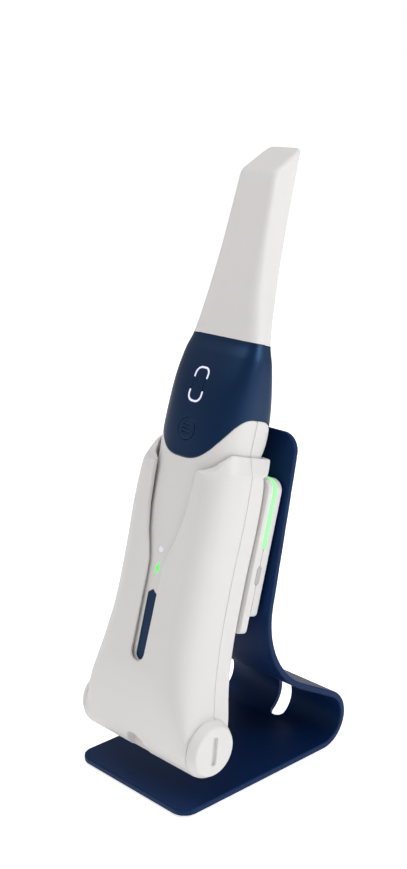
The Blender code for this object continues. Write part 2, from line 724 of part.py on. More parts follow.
def make_cradle_body(name, frame):
    levels = [row[0] for row in CRADLE] + [-118, -92, -70]
    body = make_object(name, *loft(outline_rings(CRADLE, sorted(levels))), "white_plastic", frame)
    barrel = circle(BARREL_RADIUS, (BARREL_DEPTH, BARREL_HEIGHT), 40)
    apply_boolean(body, prism("barrel", barrel, -BARREL_HALF_WIDTH, BARREL_HALF_WIDTH, "white_plastic",
                              frame, axis="X"), "UNION")
    pocket_levels = [POCKET_FLOOR, -110, -75, -66, -62, -58, -54, -48, -40]
    pocket = make_object("pocket", *loft(outline_rings(POCKET, pocket_levels, 0, 36)), "white_plastic", frame)
    apply_boolean(body, pocket)
    apply_boolean(body, prism("opening", opening_outline(), *OPENING_CUT, "white_plastic", frame))
    notch = circle(NOTCH_RADIUS, (0, BARREL_HEIGHT - BARREL_RADIUS + NOTCH_RISE), 20)
    apply_boolean(body, prism("notch", notch, *NOTCH_CUT, "white_plastic", frame))
    bore = circle(SPIGOT_RADIUS + GAP, (BARREL_DEPTH, BARREL_HEIGHT), 28)
    depth = SPIGOT_LENGTH + GAP
    for side in (-1, 1):
        ends = sorted((side * (BARREL_HALF_WIDTH - depth), side * (BARREL_HALF_WIDTH + CAP_THICKNESS)))
        apply_boolean(body, prism("bore", bore, *ends, "white_plastic", frame, axis="X"))
    block = rectangle(BLOCK_LOW, BLOCK_HIGH, GAP)
    apply_boolean(body, prism("block_cutter", block, POCKET_FLOOR - BLOCK_DEPTH, POCKET_FLOOR + WALL,
                              "white_plastic", frame, axis="Z"))
    return body


def make_cradle(frame):
    split = CRADLE_SEAM
    bottom = BARREL_HEIGHT - SPLIT_MARGIN
    cuts = (("cradle_front_shell", split, split + SPLIT_REACH),
            ("cradle_rear_shell", split - SPLIT_REACH, split + GAP))
    for name, low, high in cuts:
        shell = make_cradle_body(name, frame)
        away = rectangle((low, bottom), (high, 0))
        apply_boolean(shell, prism("half", away, -SPLIT_REACH, SPLIT_REACH, "white_plastic", frame, axis="X"))
        shell.data.shade_smooth()
        shell.data.set_sharp_from_angle(angle=math.radians(35))


def make_contacts(frame):
    block = prism("contact_block", rectangle(BLOCK_LOW, BLOCK_HIGH), POCKET_FLOOR - BLOCK_DEPTH + GAP,
                  POCKET_FLOOR - BLOCK_STEP, "black_plastic", frame, axis="Z", smooth=False)
    foot = POCKET_FLOOR - PIN_LENGTH
    for side, x in PIN_PLACES:
        hole = circle(PIN_RADIUS + GAP, (x, PIN_DEPTH), 14)
        apply_boolean(block, prism("pin_cutter", hole, foot, POCKET_FLOOR, "black_plastic", frame, axis="Z"))
        prism(f"contact_pin_{side}", circle(PIN_RADIUS, (x, PIN_DEPTH), 14), foot + GAP,
              POCKET_FLOOR + PIN_PROUD, "gold_contact", frame, axis="Z")


def make_end_cap(name, side, parent):
    """Quarter-turn cap on the barrel's end, with a coin slot across its face."""
    spin = Matrix.Translation((side * BARREL_HALF_WIDTH, BARREL_DEPTH, BARREL_HEIGHT))
    frame = make_frame(name + "_axis", spin, parent)
    rim = [(max(GAP, CAP_THICKNESS * share), BARREL_RADIUS - inset) for share, inset in CAP_CHAMFER]
    profile = [(-SPIGOT_LENGTH, SPIGOT_RADIUS), (GAP, SPIGOT_RADIUS)] + rim
    profile.append((CAP_THICKNESS, CAP_FACE_RADIUS))
    rings = [[(side * x, y, z) for y, z in circle(radius, count=36)] for x, radius in profile]
    cap = make_object(name, *loft(rings), "white_plastic", frame)
    half = COIN_SLOT_WIDTH / 2
    slot = rectangle((-half, -COIN_SLOT_REACH), (half, COIN_SLOT_REACH))
    ends = sorted((side * (CAP_THICKNESS - COIN_SLOT_DEPTH), side * (CAP_THICKNESS + COIN_SLOT_DEPTH)))
    apply_boolean(cap, prism("coin_cutter", slot, *ends, "white_plastic", frame, axis="X"))
    return cap


# ---------------------------------------------------------------- charger

def box_rings(bottom, depths, inset):
    corner = max(BOX_CORNER - inset, LEAST_CORNER)
    outline = rounded_rectangle((-BOX_HALF_WIDTH + inset, bottom + inset),
                                (BOX_HALF_WIDTH - inset, BOX_TOP - inset), corner)
    return [[(x, y, z) for x, z in outline] for y in depths]


def strip_outline(grow):
    """Upside-down U that runs over the top of the box and down both sides."""
    proud = STRIP_WIDTH if grow else 0.0
    outer = BOX_HALF_WIDTH + proud
    top = BOX_TOP + proud
    radius = BOX_CORNER + proud
    inner = BOX_HALF_WIDTH - STRIP_DEPTH - grow
    inner_top = BOX_TOP - STRIP_DEPTH - grow
    inner_radius = BOX_CORNER - STRIP_DEPTH - grow
    end = STRIP_END - grow

    def arch(half, high, curve):
        right = circle(curve, (half - curve, high - curve), 6, 0, math.pi / 2)
        left = circle(curve, (curve - half, high - curve), 6, math.pi / 2, math.pi)
        return [(half, end)] + right + left + [(-half, end)]

    return arch(outer, top, radius) + list(reversed(arch(inner, inner_top, inner_radius)))


def make_charger(frame):
    front_seam = BOX_SEAM - GAP / 2
    cover_seam = BOX_SEAM + GAP / 2
    front = make_object("charger_front_shell", *cup(
        box_rings(BOX_BOTTOM, (front_seam, BOX_FRONT), 0),
        box_rings(BOX_BOTTOM, (front_seam, BOX_FRONT + BOX_WALL), BOX_WALL)), "white_plastic", frame)
    cover = make_object("charger_rear_cover", *cup(
        box_rings(COVER_BOTTOM, (cover_seam, BOX_REAR - COVER_EDGE), 0)
        + box_rings(COVER_BOTTOM, (BOX_REAR - COVER_EDGE_STEP,), COVER_EDGE_STEP)
        + box_rings(COVER_BOTTOM, (BOX_REAR,), COVER_EDGE),
        box_rings(COVER_BOTTOM, (cover_seam, BOX_REAR - BOX_WALL), BOX_WALL)), "white_plastic", frame)
    low, high = BOX_SEAM - STRIP_WIDTH / 2, BOX_SEAM + STRIP_WIDTH / 2
    for shell in (front, cover):
        cutter = prism("strip_cutter", strip_outline(GAP), low - GAP, high + GAP, "white_plastic", frame)
        apply_boolean(shell, cutter)
    prism("charger_light_strip", strip_outline(0), low, high, "green_light", frame)
    make_side_button(front, cover, frame)
    make_inlet(front, frame)
    box("charger_board", BOARD_LOW, BOARD_HIGH, "circuit_board", frame)
    for name, (x, height) in zip(("upper_left", "upper_right", "lower_left", "lower_right"), SCREW_PLACES):
        hole = circle(SCREW_RADIUS + GAP, (x, height), 12)
        apply_boolean(cover, prism("screw_cutter", hole, *SCREW_CUT, "white_plastic", frame))
        make_screw("stand_screw_" + name, x, height, frame)


def make_side_button(front, cover, frame):
    middle = (SIDE_BUTTON_TOP + SIDE_BUTTON_BOTTOM) / 2
    half = (SIDE_BUTTON_TOP - SIDE_BUTTON_BOTTOM) / 2
    width = SIDE_BUTTON_WIDTH / 2
    face = BOX_HALF_WIDTH - SIDE_BUTTON_INSET
    for shell in (front, cover):
        hole = obround(width + GAP, half + GAP, (BOX_SEAM, middle), 6)
        apply_boolean(shell, prism("button_cutter", hole, face - SIDE_BUTTON_CUT, face + SIDE_BUTTON_CUT,
                                   "white_plastic", frame, axis="X"))
    prism("charger_button", obround(width, half, (BOX_SEAM, middle), 6), face - SIDE_BUTTON_DEPTH, face,
          "grey_plastic", frame, axis="X")


def make_inlet(front, frame):
    """Flat oval socket in the box's lower edge, with a blind mouth for a plug."""
    low, high = (-INLET_HALF_WIDTH, INLET_FRONT), (INLET_HALF_WIDTH, INLET_REAR)
    hole = rectangle((low[0] - GAP, low[1] - GAP), (high[0] + GAP, BOX_SEAM + GAP))
    apply_boolean(front, prism("inlet_cutter", hole, BOX_BOTTOM - BOX_WALL, BOX_BOTTOM + 2 * BOX_WALL,
                               "white_plastic", frame, axis="Z"))
    outline = rounded_rectangle(low, high, INLET_CORNER, 4)
    socket = prism("charging_inlet", outline, BOX_BOTTOM + INLET_RIM, BOX_BOTTOM + INLET_LENGTH, "steel",
                   frame, axis="Z")
    mouth = rounded_rectangle((low[0] + INLET_WALL, low[1] + INLET_WALL),
                              (high[0] - INLET_WALL, high[1] - INLET_WALL), INLET_CORNER - INLET_WALL, 4)
    apply_boolean(socket, prism("mouth", mouth, BOX_BOTTOM - BOX_WALL, BOX_BOTTOM + MOUTH_DEPTH, "steel",
                                frame, axis="Z"))


def make_screw(name, x, height, frame):
    """Screw whose head rests behind the sheet and whose shank enters the box's cover."""
    distance = dock_to_sheet(height)
    point, heading = sheet_place(distance)
    outward = Vector((0, math.sin(heading), -math.cos(heading)))
    face = Vector((0, point.x, point.y)) + (SHEET / 2 + GAP) * outward
    lean = math.pi / 2 - heading
    matrix = Matrix.Translation((x, face.y, face.z)) @ Matrix.Rotation(-lean, 4, "X")
    place = make_frame(name + "_axis", matrix)
    profile = ((-SHEET - SCREW_REACH, SCREW_RADIUS), (0, SCREW_RADIUS), (0, SCREW_HEAD_RADIUS),
               (SCREW_HEAD * 0.6, SCREW_HEAD_RADIUS), (SCREW_HEAD, SCREW_HEAD_RADIUS * 0.7))
    rings = [[(a, y, b) for a, b in circle(radius, count=16)] for y, radius in profile]
    make_object(name, *loft(rings), "steel", place)


def main():
    clear_scene()
    make_stand()
    dock = make_frame("dock", Matrix.Translation(DOCK_ORIGIN) @ Matrix.Rotation(-LEAN, 4, "X"))
    scan = button_frame("scan_axis", SCAN_HEIGHT, SCAN_DEPTH, SCAN_TILT, dock)
    mode = button_frame("mode_axis", MODE_HEIGHT, MODE_DEPTH, MODE_TILT, dock)
    make_tip(dock)
    make_snout(dock)
    make_collar(dock, scan, mode)
    make_buttons(scan, mode)
    make_handle(dock)
    make_lamps(dock)
    make_inside(dock)
    make_cradle(dock)
    make_contacts(dock)
    make_end_cap("end_cap_left", -1, dock)
    make_end_cap("end_cap_right", 1, dock)
    make_charger(dock)


main()
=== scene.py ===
"""Looks of the intraoral camera on its charging stand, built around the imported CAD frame.

Shells are made as fields: negative inside, roughly a distance in millimetres. net() turns a
field into a mesh. Most fields live in the dock frame, which leans back with the camera: its
origin is the joint between tip and collar, +Z runs up the camera, -Y is the side with the
buttons.
"""
import json
import math

import bpy
import numpy as np
from mathutils import Matrix, Vector


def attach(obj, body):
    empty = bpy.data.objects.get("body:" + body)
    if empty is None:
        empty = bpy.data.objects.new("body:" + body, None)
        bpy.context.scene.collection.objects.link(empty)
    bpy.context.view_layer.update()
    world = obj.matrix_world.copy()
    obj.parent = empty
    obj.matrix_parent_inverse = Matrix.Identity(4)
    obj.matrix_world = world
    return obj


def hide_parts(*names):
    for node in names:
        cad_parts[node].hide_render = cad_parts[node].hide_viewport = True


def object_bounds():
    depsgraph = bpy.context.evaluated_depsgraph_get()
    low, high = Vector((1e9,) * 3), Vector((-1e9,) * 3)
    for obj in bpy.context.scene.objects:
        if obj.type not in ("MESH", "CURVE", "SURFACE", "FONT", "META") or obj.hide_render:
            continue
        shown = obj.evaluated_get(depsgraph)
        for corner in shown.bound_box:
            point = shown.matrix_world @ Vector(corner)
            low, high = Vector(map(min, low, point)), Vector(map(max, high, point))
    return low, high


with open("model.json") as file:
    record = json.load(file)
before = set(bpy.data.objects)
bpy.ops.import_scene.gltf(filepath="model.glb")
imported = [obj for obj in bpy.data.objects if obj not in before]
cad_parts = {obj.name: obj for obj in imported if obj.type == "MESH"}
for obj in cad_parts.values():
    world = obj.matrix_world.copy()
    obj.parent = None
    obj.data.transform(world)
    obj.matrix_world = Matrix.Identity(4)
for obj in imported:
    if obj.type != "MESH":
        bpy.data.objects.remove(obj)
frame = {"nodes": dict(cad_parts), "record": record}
CAD_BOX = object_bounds()

MM = 0.001

# ---------------------------------------------------------------- frames, in millimetres

SHEET = 3.0
BASE_LENGTH = 92.7
RETURN_RADIUS = 13.5
RETURN_TURN = math.radians(152.5)
LIP_LENGTH = 23.4
BACK_RADIUS = 40.0
BACK_LEAN = math.radians(14.5)
BACK_LENGTH = 79.8
BEND_TURN = RETURN_TURN - (math.pi / 2 - BACK_LEAN)
BASE_HALF_WIDTH = 37.5
TOP_HALF_WIDTH = 30.7
HALF_DEPTH = BASE_LENGTH / 2 + RETURN_RADIUS / 2 + SHEET / 4
SHEET_BOTTOM = 1.0
LEAN = math.radians(15.5)
DOCK_ORIGIN = Vector((0, 67.1 - HALF_DEPTH, 201.6 + SHEET_BOTTOM))
DOCK = Matrix.Translation(DOCK_ORIGIN) @ Matrix.Rotation(-LEAN, 4, "X")

# Outlines up the dock frame: height, half width, front depth, rear depth, and the squareness of the
# front and of the rear (2 is an ellipse, more is closer to a rectangle).
OUTLINE = np.array((
    (-152, 20.3, 20.3, 4.9, 3.0, 5.0),
    (-110, 21.4, 20.3, 5.6, 3.0, 5.0),
    (-75, 22.2, 20.0, 6.2, 3.0, 5.0),
    (-62, 22.6, 19.8, 6.8, 3.0, 5.0),
    (-54, 23.0, 19.6, 10.6, 3.0, 4.6),
    (-44, 23.5, 19.5, 13.8, 3.0, 4.5),
    (-32, 23.7, 18.8, 12.9, 3.0, 4.5),
    (-20, 23.6, 16.9, 10.0, 3.2, 4.4),
    (-8, 22.9, 13.4, 6.2, 3.4, 4.1),
    (0, 21.0, 10.6, 4.1, 3.7, 4.0),
    (20, 16.8, 9.6, 6.0, 4.5, 4.5),
    (44, 13.7, 8.6, 7.2, 5.4, 5.2),
    (95, 10.2, 6.8, 9.0, 7.5, 6.5)))
CRADLE = np.array((
    (-186, 35.2, 15.5, 11.2, 9.0, 9.0),
    (-180.6, 35.3, 17.4, 11.6, 9.0, 9.0),
    (-176, 35.1, 18.9, 11.7, 8.4, 9.0),
    (-170, 34.5, 20.6, 11.5, 7.4, 9.0),
    (-166, 33.8, 21.4, 11.2, 6.8, 9.0),
    (-160, 32.5, 22.4, 10.7, 5.9, 9.0),
    (-152, 31.0, 23.1, 10.1, 5.0, 10.0),
    (-142, 29.8, 23.4, 9.6, 4.3, 11.0),
    (-128, 28.8, 23.4, 9.45, 3.8, 13.0),
    (-104, 28.5, 23.4, 9.45, 3.8, 14.0),
    (-80, 28.9, 23.3, 9.45, 4.1, 14.0),
    (-66, 28.6, 23.2, 9.45, 4.0, 12.0),
    (-60, 28.2, 23.2, 9.45, 3.8, 9.0),
    (-58.2, 28.1, 23.1, 9.5, 3.7, 7.0),
    (-57.4, 28.0, 23.1, 12.8, 3.7, 6.0),
    (-54, 27.8, 22.9, 13.9, 3.5, 5.5),
    (-47, 27.4, 22.6, 14.6, 3.3, 5.0)))
POCKET = np.array((
    (-153, 21.1, 21.2, 5.7, 3.0, 5.0),
    (-110, 22.2, 21.2, 6.4, 3.0, 5.0),
    (-75, 23.0, 21.2, 7.0, 3.0, 5.0),
    (-62, 23.4, 21.2, 7.8, 3.0, 5.0),
    (-54, 23.8, 21.2, 11.7, 3.0, 4.6),
    (-44, 24.3, 21.2, 14.6, 3.0, 4.5)))
# Opening in the cradle's front: height and half width.
OPENING = np.array(((-175, 4.3), (-113, 4.3), (-104, 4.7), (-98, 6.6), (-92, 9.0), (-80, 12.0),
                    (-66, 13.2), (-49, 13.8)))


# ---------------------------------------------------------------- fields

FAR = 30.0


def read_table(table, height, column):
    """Values of one column of a table at many heights, along a smooth curve through its rows."""
    xs, ys = table[:, 0], table[:, column]
    slopes = np.empty_like(ys)
    slopes[1:-1] = (ys[2:] - ys[:-2]) / (xs[2:] - xs[:-2])
    slopes[0] = (ys[1] - ys[0]) / (xs[1] - xs[0])
    slopes[-1] = (ys[-1] - ys[-2]) / (xs[-1] - xs[-2])
    clipped = np.clip(height, xs[0], xs[-1])
    index = np.clip(np.searchsorted(xs, clipped, side="right") - 1, 0, len(xs) - 2)
    span = xs[index + 1] - xs[index]
    t = (clipped - xs[index]) / span
    return (ys[index] * (1 + 2 * t) * (1 - t) ** 2 + ys[index + 1] * t * t * (3 - 2 * t)
            + span * (slopes[index] * t * (1 - t) ** 2 - slopes[index + 1] * t * t * (1 - t)))


class Section:
    """Rounded tapering column from a table like OUTLINE."""

    def __init__(self, table):
        self.heights = np.arange(table[0, 0], table[-1, 0] + 0.01, 0.25)
        self.columns = [read_table(table, self.heights, c) for c in range(1, 6)]

    def read(self, z):
        return [np.interp(z, self.heights, c) for c in self.columns]

    def parts(self, p):
        half, front, rear, front_power, rear_power = self.read(p[2])
        ahead = p[1] < 0
        depth = np.where(ahead, front, rear)
        power = np.where(ahead, front_power, rear_power)
        return np.abs(p[0]) / half, np.abs(p[1]) / depth, half, depth, power

    def __call__(self, p):
        u, v, half, depth, power = self.parts(p)
        u = np.maximum(u, 1e-6)
        v = np.maximum(v, 1e-6)
        total = u ** power + v ** power
        radius = total ** (1 / power)
        scale = total ** (1 / power - 1)
        slope = np.hypot(scale * u ** (power - 1) / half, scale * v ** (power - 1) / depth)
        return (radius - 1) / np.maximum(slope, 1e-6)

    def facing(self, p):
        """Squared cosine of the outline angle: 1 straight ahead or behind, 0 at the sides."""
        u, v, _half, _depth, power = self.parts(p)
        total = u ** power + v ** power
        return v ** power / np.maximum(total, 1e-9)


def both(a, b, radius=0.0):
    """Intersection of two fields, its edge rounded to a radius."""
    if radius <= 0:
        return np.maximum(a, b)
    corner = np.hypot(np.maximum(radius + a, 0), np.maximum(radius + b, 0))
    return np.minimum(-radius, np.maximum(a, b)) + corner


def either(a, b, radius=0.0):
    """Union of two fields, the inner corner filled to a radius."""
    if radius <= 0:
        return np.minimum(a, b)
    corner = np.hypot(np.maximum(radius - a, 0), np.maximum(radius - b, 0))
    return np.maximum(radius, np.minimum(a, b)) - corner


def minus(a, b, radius=0.0):
    return both(a, -b, radius)


def rounded_box(u, v, half_u, half_v, radius):
    """Flat rectangle with round corners, centred on 0."""
    a, b = np.abs(u) - half_u + radius, np.abs(v) - half_v + radius
    return np.hypot(np.maximum(a, 0), np.maximum(b, 0)) + np.minimum(np.maximum(a, b), 0) - radius


def obround(u, v, half_width, half_length):
    return np.hypot(u, np.maximum(np.abs(v) - half_length + half_width, 0)) - half_width


# ---------------------------------------------------------------- meshes

SLOPE_REACH = 0.04
NORMAL_REACH = 0.12
# Steps of net(), and how far they reach as a share of a cell.
SURFACE_ROUNDS = 4
SURFACE_REACH = 0.35
EDGE_ROUNDS = 5
EDGE_REACH = 0.6


def crossings(values, mixed):
    """Mean place, in cells, where each mixed cell's edges cross zero."""
    i, j, k = mixed
    corners = [(a, b, c) for a in (0, 1) for b in (0, 1) for c in (0, 1)]
    level = {c: values[i + c[0], j + c[1], k + c[2]] for c in corners}
    total = np.zeros((len(i), 3))
    count = np.zeros(len(i))
    for start in corners:
        for axis in range(3):
            if start[axis]:
                continue
            end = tuple(v + (n == axis) for n, v in enumerate(start))
            a, b = level[start], level[end]
            crossed = (a < 0) != (b < 0)
            share = np.where(crossed, a / np.where(crossed, a - b, 1), 0)
            for n in range(3):
                total[:, n] += np.where(crossed, start[n] + (share if n == axis else 0), 0)
            count += crossed
    return total / count[:, None]


def gradient(field, points, reach=SLOPE_REACH):
    result = np.empty_like(points)
    for axis in range(3):
        shift = np.zeros(3)
        shift[axis] = reach
        result[:, axis] = (field((points + shift).T) - field((points - shift).T)) / (2 * reach)
    return result


def move_to(field, points):
    """How far each point has to move along a field's slope to where it is zero."""
    slope = gradient(field, points)
    size = np.maximum((slope ** 2).sum(1), 1e-4)
    return -(field(points.T) / size)[:, None] * slope


def net(field, low, high, step, edges=()):
    """Closed quad mesh where a field crosses zero: its points, faces and normals.

    Points close to both surfaces of a pair in edges are put on the edge where the two meet.
    """
    axes = [np.arange(a - 1.5 * step, b + 2.5 * step, step) for a, b in zip(low, high)]
    grid = np.meshgrid(*axes, indexing="ij")
    values = field(grid)
    inside = values < 0
    count = sum(inside[a:inside.shape[0] - 1 + a, b:inside.shape[1] - 1 + b, c:inside.shape[2] - 1 + c]
                .astype(np.int8) for a in (0, 1) for b in (0, 1) for c in (0, 1))
    mixed = np.nonzero((count > 0) & (count < 8))
    number = np.full(count.shape, -1, np.int64)
    number[mixed] = np.arange(len(mixed[0]))
    points = (np.stack(mixed, 1) + crossings(values, mixed)) * step + [a[0] for a in axes]
    faces = []
    for axis in range(3):
        first = [slice(None)] * 3
        second = [slice(None)] * 3
        first[axis], second[axis] = slice(None, -1), slice(1, None)
        a, b = inside[tuple(first)], inside[tuple(second)]
        edge = np.array(np.nonzero(a != b))
        side_u, side_v = (axis + 1) % 3, (axis + 2) % 3
        keep = (edge[side_u] > 0) & (edge[side_v] > 0)
        keep &= (edge[side_u] < count.shape[side_u]) & (edge[side_v] < count.shape[side_v])
        edge = edge[:, keep]
        outward = a[tuple(edge)]
        quad = []
        for du, dv in ((-1, -1), (0, -1), (0, 0), (-1, 0)):
            cell = edge.copy()
            cell[side_u] += du
            cell[side_v] += dv
            quad.append(number[tuple(cell)])
        quad = np.stack(quad, 1)
        faces.append(np.where(outward[:, None], quad, quad[:, ::-1]))
    faces = np.concatenate(faces)
    for _ in range(SURFACE_ROUNDS):
        move = move_to(field, points)
        length = np.linalg.norm(move, axis=1)
        points = points + move * np.minimum(1, SURFACE_REACH * step / np.maximum(length, 1e-9))[:, None]
    for first, second in edges:
        reach = EDGE_REACH * step
        near = (np.abs(first(points.T)) < reach) & (np.abs(second(points.T)) < reach)
        snapped = points[near]
        for _ in range(EDGE_ROUNDS):
            snapped = snapped + move_to(first, snapped)
            snapped = snapped + move_to(second, snapped)
        far = np.linalg.norm(snapped - points[near], axis=1) > step
        snapped[far] = points[near][far]
        points[near] = snapped
    slope = gradient(field, points, NORMAL_REACH)
    normals = slope / np.maximum(np.linalg.norm(slope, axis=1), 1e-9)[:, None]
    return points, faces, normals


def mesh_object(name, points, faces, normals, matrix):
    """Object from points in millimetres of a local frame, placed in the row frame."""
    turn = np.array(matrix.to_3x3())
    placed = (points @ turn.T + np.array(matrix.translation)) * MM
    mesh = bpy.data.meshes.new(name)
    mesh.vertices.add(len(placed))
    mesh.vertices.foreach_set("co", placed.ravel())
    mesh.loops.add(faces.size)
    mesh.loops.foreach_set("vertex_index", faces.ravel().astype(np.int32))
    mesh.polygons.add(len(faces))
    mesh.polygons.foreach_set("loop_start", np.arange(0, faces.size, faces.shape[1], dtype=np.int32))
    mesh.update(calc_edges=True)
    mesh.validate()
    mesh.shade_smooth()
    mesh.normals_split_custom_set_from_vertices((normals @ turn.T).astype(np.float32))
    item = bpy.data.objects.new(name, mesh)
    bpy.context.scene.collection.objects.link(item)
    return item


def piece(name, field, low, high, step, material, node, edges=()):
    """Make a piece of the dock frame from a field, and let it stand for a CAD node."""
    points, faces, normals = net(field, low, high, step, edges)
    settle(mesh_object(name, points, faces, normals, DOCK), material, node)


def settle(item, material, node):
    """Give a piece its material and the place of a CAD node, riding on that node's body."""
    item.data.materials.append(material)
    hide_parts(node)
    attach(item, BODY_OF[node])


BODY_OF = {node: name for name, nodes in frame["record"]["behaviour"]["bodies"].items() for node in nodes}

# ---------------------------------------------------------------- materials

GLOSS_SPREAD = 0.05
GRAIN_HEIGHT = 0.04 * MM
SCATTER = (2.0 * MM, 1.5 * MM, 1.2 * MM)


def add(tree, kind, **values):
    node = tree.nodes.new("ShaderNode" + kind)
    for key, value in values.items():
        if hasattr(node, key):
            setattr(node, key, value)
        else:
            node.inputs[key.replace("_", " ")].default_value = value
    return node


def set_ramp(node, *stops):
    for element, (position, colour) in zip(node.color_ramp.elements, stops):
        element.position = position
        element.color = (*colour, 1)


def moulded(name, colour, roughness, grain=1800.0, depth=0.3, spread=0.05, metallic=0.0, subsurface=0.0,
            gloss_tint=(1, 1, 1), gloss_level=0.5):
    """Procedural surface: slow colour and gloss variation over a fine moulded or sprayed grain."""
    material = bpy.data.materials.new(name)
    material.use_nodes = True
    tree = material.node_tree
    shader = tree.nodes["Principled BSDF"]
    place = add(tree, "TexCoord")
    slow = add(tree, "TexNoise", Scale=28.0, Detail=3.0, Roughness=0.6)
    fine = add(tree, "TexNoise", Scale=grain, Detail=2.0, Roughness=0.55)
    for noise in (slow, fine):
        tree.links.new(place.outputs["Object"], noise.inputs["Vector"])
    tint = add(tree, "ValToRGB")
    set_ramp(tint, (0.3, [c * (1 - spread) for c in colour]), (0.7, colour))
    tree.links.new(slow.outputs["Fac"], tint.inputs["Fac"])
    tree.links.new(tint.outputs["Color"], shader.inputs["Base Color"])
    gloss = add(tree, "MapRange")
    gloss.inputs["To Min"].default_value = roughness - GLOSS_SPREAD
    gloss.inputs["To Max"].default_value = roughness + GLOSS_SPREAD
    tree.links.new(fine.outputs["Fac"], gloss.inputs["Value"])
    tree.links.new(gloss.outputs["Result"], shader.inputs["Roughness"])
    bump = add(tree, "Bump")
    bump.inputs["Strength"].default_value = depth
    bump.inputs["Distance"].default_value = GRAIN_HEIGHT
    tree.links.new(fine.outputs["Fac"], bump.inputs["Height"])
    tree.links.new(bump.outputs["Normal"], shader.inputs["Normal"])
    shader.inputs["Metallic"].default_value = metallic
    shader.inputs["Specular IOR Level"].default_value = gloss_level
    shader.inputs["Specular Tint"].default_value = (*gloss_tint, 1)
    if subsurface:
        shader.inputs["Subsurface Weight"].default_value = subsurface
        shader.inputs["Subsurface Radius"].default_value = SCATTER
    return material


def glowing(name, colour, edge, strength):
    """Diffusing light guide, a little brighter in soft patches than between them."""
    material = moulded(name, colour, 0.35, grain=1200.0, depth=0.1)
    tree = material.node_tree
    shader = tree.nodes["Principled BSDF"]
    place = next(n for n in tree.nodes if n.type == "TEX_COORD")
    patch = add(tree, "TexNoise", Scale=90.0, Detail=1.0)
    ramp = add(tree, "ValToRGB")
    set_ramp(ramp, (0.25, edge), (0.6, colour))
    tree.links.new(place.outputs["Object"], patch.inputs["Vector"])
    tree.links.new(patch.outputs["Fac"], ramp.inputs["Fac"])
    tree.links.new(ramp.outputs["Color"], shader.inputs["Emission Color"])
    shader.inputs["Emission Strength"].default_value = strength
    return material


WHITE = moulded("white_shell", (0.79, 0.768, 0.752), 0.42, depth=0.25, spread=0.015, subsurface=0.04)
TIP_WHITE = moulded("tip_white", (0.80, 0.775, 0.76), 0.45, depth=0.2, spread=0.015, subsurface=0.06)
NAVY = moulded("collar_navy", (0.001, 0.008, 0.036), 0.38, depth=0.25, spread=0.12,
               gloss_tint=(0.22, 0.50, 1.0), gloss_level=0.85)
COATING = moulded("stand_coating", (0.0025, 0.017, 0.078), 0.5, grain=1400.0, depth=0.6, spread=0.12,
                  gloss_tint=(0.32, 0.60, 1.0), gloss_level=0.32)
RING_LIGHT = glowing("ring_light", (0.76, 0.74, 0.90), (0.66, 0.66, 0.86), 0.5)
LAMP_LIGHT = glowing("lamp_light", (0.72, 0.70, 0.80), (0.64, 0.63, 0.75), 0.3)
GREEN_LIGHT = glowing("green_light", (0.22, 0.85, 0.25), (0.16, 0.75, 0.19), 0.95)
BOLT_LIGHT = glowing("bolt_light", (0.10, 0.85, 0.12), (0.07, 0.70, 0.09), 0.6)
BUTTON_GREY = moulded("button_grey", (0.50, 0.50, 0.50), 0.5, spread=0.06)
RUBBER = moulded("feet_rubber", (0.022, 0.022, 0.024), 0.8, grain=1000.0, depth=0.8, spread=0.3)
STEEL = moulded("screw_steel", (0.56, 0.56, 0.57), 0.3, grain=900.0, depth=0.2, spread=0.15, metallic=1.0)
GOLD = moulded("contact_gold", (0.80, 0.58, 0.22), 0.25, grain=1500.0, depth=0.1, metallic=1.0)
BOARD = moulded("circuit_green", (0.02, 0.16, 0.07), 0.45, grain=500.0, depth=0.4, spread=0.4)
WRAP = moulded("battery_blue", (0.05, 0.10, 0.32), 0.35, grain=300.0, depth=0.4, spread=0.15)
BLACK = moulded("inner_black", (0.02, 0.02, 0.022), 0.5, grain=1300.0, depth=0.5, spread=0.3)
MIRROR = moulded("mirror_face", (0.92, 0.93, 0.94), 0.07, grain=200.0, depth=0.01, metallic=1.0)
GLASS = moulded("lens_glass", (0.85, 0.92, 0.95), 0.06, grain=200.0, depth=0.01)
GLASS.node_tree.nodes["Principled BSDF"].inputs["Transmission Weight"].default_value = 0.9

# ---------------------------------------------------------------- camera

SIDE_SEAM = -33.5
FRONT_DROP = 22.2
REAR_DROP = 14.0
SEAM_TILT = 1.35
WALL = 1.6
TIP_WALL = 1.2
TIP_FRONT_TOP = 75.0
TIP_SLOPE = 0.95
TIP_END_ROUND = 1.7
TIP_GAP = 0.15
SEAM_ROUND = 0.12
SEAM_GAP = 0.2
SPLIT_GAP = 0.12
HANDLE_BOTTOM = -152.0
SCAN = {"height": -22.5, "depth": -17.4, "tilt": math.radians(11)}
MODE = {"height": -42.9, "depth": -19.5, "tilt": math.radians(1)}
SCAN_HALF = (3.3, 7.35)
SCAN_CORNER = 2.5
RING_INNER = 0.15
RING_OUTER = 1.0
RING_OPENING = 2.9
MODE_RADIUS = 5.0
BUTTON_PROUD = 0.05
BUTTON_DEPTH = 3.2
BUTTON_HOLE = 5.0
MARK_DEPTH = 0.22
MARK_HALF = 1.9
MARK_LINE = 0.2
MARK_GAP = 0.95
MARK_DOT = 0.5
BARS_DEPTH = 0.4
BAR_PITCH = 1.7
BAR_HALF = (0.36, 2.3)
LAMP_HEIGHT = -98.8
CHARGE_HEIGHT = -107.4
LAMP_RADIUS = 1.5
BOLT_HALF_HEIGHT = 2.9
BOLT_WIDTH = 1.35
BOLT_OVERLAP = 0.45
BOLT_LEAN = 0.18
BOLT_TAPER = 0.36
STRIPE_TOP = -117.2
STRIPE_BOTTOM = -150.0
STRIPE_HALF = 2.8
STRIPE_DEPTH = 0.5
WINDOW_HEIGHT = 67.0
WINDOW_HALF = (6.5, 7.0)

